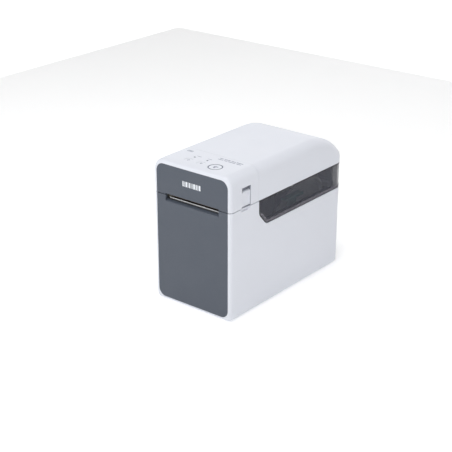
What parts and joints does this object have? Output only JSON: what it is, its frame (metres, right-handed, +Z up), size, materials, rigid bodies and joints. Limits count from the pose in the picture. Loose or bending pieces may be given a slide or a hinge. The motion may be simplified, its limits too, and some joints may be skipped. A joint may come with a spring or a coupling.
{
  "type": "thermal label printer",
  "caption": "Compact desktop direct thermal label printer: white casing, slate front with label exit slot, hinged lid with smoky side windows, release levers and top keys.",
  "frame": {"origin": "on the table under the middle of the printer's footprint", "axes": "+Z up; -Y out of the front, where the labels leave; +X towards the side on the right hand of someone who faces the front"},
  "size_m": [0.11, 0.215, 0.172],
  "materials": {
    "white_shell": "fine matt texture on moulded ABS",
    "slate_panel": "smooth satin ABS",
    "smoky_window": "clear smoky polycarbonate, polished",
    "black_frame": "fine matt texture",
    "grey_tub": "fine matt texture",
    "guide_white": "satin POM",
    "lock_green": "satin ABS",
    "gear_plastic": "natural POM",
    "platen_black": "ground silicone rubber",
    "foot_rubber": "moulded rubber",
    "steel": "ground bar, zinc plated sheet",
    "heat_aluminium": "extruded and milled",
    "head_ceramic": "glazed",
    "circuit_board": "solder resist",
    "connector_black": "glass filled nylon",
    "connector_metal": "nickel plated",
    "key_white": "smooth satin ABS",
    "light_lens": "clear acrylic"
  },
  "bodies": {
    "base": {"lower_casing": "white_shell", "front_panel_lower": "slate_panel", "bottom_cover": "white_shell", "rubber_feet": "foot_rubber", "base_screws": "steel", "roll_tub": "grey_tub", "rack_tray": "black_frame", "main_board": "circuit_board", "dc_jack": "connector_black", "usb_port": "connector_metal", "serial_port": "connector_metal", "latch_strikes": "steel", "hinge_pin": "steel", "mechanism_frame": "steel", "platen_bushings": "gear_plastic", "stepper_motor": "steel", "tear_bar": "steel", "tear_bar_bracket": "black_frame", "label_guide": "black_frame", "gap_sensor": "connector_black"},
    "lid": {"lid_rear_cover": "white_shell", "lid_front_cover": "white_shell", "front_panel_upper": "slate_panel", "window_right": "smoky_window", "window_left": "smoky_window", "lid_frame": "black_frame", "lid_screws": "steel", "panel_board": "circuit_board", "light_pipes": "light_lens", "head_pivot_pin": "steel", "head_springs": "steel"},
    "platen": {"platen_shaft": "steel", "platen_rubber": "platen_black", "platen_gear": "gear_plastic"},
    "idler": {"idler_gear": "gear_plastic"},
    "motor_rotor": {"motor_shaft": "steel", "motor_pinion": "gear_plastic"},
    "print_head": {"thermal_head": "head_ceramic", "head_heatsink": "heat_aluminium", "head_bracket": "steel"},
    "latch": {"latch_shaft": "steel", "latch_hooks": "steel"},
    "lever_right": {"release_lever_right": "white_shell"},
    "lever_left": {"release_lever_left": "white_shell"},
    "guide_right": {"roll_guide_right": "guide_white"},
    "guide_left": {"roll_guide_left": "guide_white"},
    "centring_pinion": {"guide_pinion": "gear_plastic"},
    "guide_lock": {"guide_lock_lever": "lock_green"},
    "power_key": {"power_button": "key_white"},
    "feed_key": {"feed_button": "key_white"},
    "print_key": {"print_button": "key_white"}
  },
  "joints": [
    {"name": "lid_hinge", "type": "hinge", "parent": "base", "child": "lid", "pos_m": [0, 0.1045, 0.1], "axis": [-1, 0, 0], "range_deg": [0, 90]},
    {"name": "platen_spin", "type": "hinge", "parent": "base", "child": "platen", "pos_m": [0, -0.096, 0.1224], "axis": [1, 0, 0], "continuous": true},
    {"name": "idler_spin", "type": "hinge", "parent": "base", "child": "idler", "pos_m": [-0.044, -0.0903, 0.11253], "axis": [1, 0, 0], "continuous": true},
    {"name": "motor_spin", "type": "hinge", "parent": "base", "child": "motor_rotor", "pos_m": [-0.044, -0.08626, 0.09746], "axis": [1, 0, 0], "continuous": true},
    {"name": "head_lift", "type": "hinge", "parent": "lid", "child": "print_head", "pos_m": [0, -0.07, 0.134], "axis": [-1, 0, 0], "range_deg": [0, 1.5], "stiffness_Nm_per_rad": 2, "springref_deg": -6.88, "deforming": ["head_springs"]},
    {"name": "latch_turn", "type": "hinge", "parent": "lid", "child": "latch", "pos_m": [0, -0.066, 0.139], "axis": [-1, 0, 0], "range_deg": [0, 15]},
    {"name": "lever_right_lift", "type": "slide", "parent": "lid", "child": "lever_right", "axis": [0, 0, 1], "range_m": [0, 0.003], "stiffness_N_per_m": 300, "springref_m": -0.001},
    {"name": "lever_left_lift", "type": "slide", "parent": "lid", "child": "lever_left", "axis": [0, 0, 1], "range_m": [0, 0.003]},
    {"name": "guide_left_slide", "type": "slide", "parent": "base", "child": "guide_left", "axis": [1, 0, 0], "range_m": [0, 0.022]},
    {"name": "guide_right_slide", "type": "slide", "parent": "base", "child": "guide_right", "axis": [-1, 0, 0], "range_m": [0, 0.022]},
    {"name": "centring_pinion_turn", "type": "hinge", "parent": "base", "child": "centring_pinion", "pos_m": [0, 0.027, 0.009], "axis": [0, 0, 1], "range_deg": [0, 211]},
    {"name": "guide_lock_tip", "type": "hinge", "parent": "guide_right", "child": "guide_lock", "pos_m": [0.036, 0.027, 0.09], "axis": [1, 0, 0], "range_deg": [0, 10], "stiffness_Nm_per_rad": 0.3, "springref_deg": -5.73},
    {"name": "power_press", "type": "slide", "parent": "lid", "child": "power_key", "axis": [0, 0, -1], "range_m": [0, 0.0006], "stiffness_N_per_m": 1500, "springref_m": -0.0004},
    {"name": "feed_press", "type": "slide", "parent": "lid", "child": "feed_key", "axis": [0, 0, -1], "range_m": [0, 0.0006], "stiffness_N_per_m": 1500, "springref_m": -0.0004},
    {"name": "print_press", "type": "slide", "parent": "lid", "child": "print_key", "axis": [0, 0, -1], "range_m": [0, 0.0006], "stiffness_N_per_m": 1500, "springref_m": -0.0004}
  ],
  "couplings": [
    {"joint": "idler_spin", "follows": "platen_spin", "ratio": -1.7143},
    {"joint": "motor_spin", "follows": "platen_spin", "ratio": 5.7143},
    {"joint": "latch_turn", "follows": "lever_right_lift", "rad_per_m": 87.266},
    {"joint": "lever_left_lift", "follows": "lever_right_lift", "ratio": 1},
    {"joint": "guide_right_slide", "follows": "guide_left_slide", "ratio": 1},
    {"joint": "centring_pinion_turn", "follows": "guide_left_slide", "rad_per_m": 166.67}
  ]
}
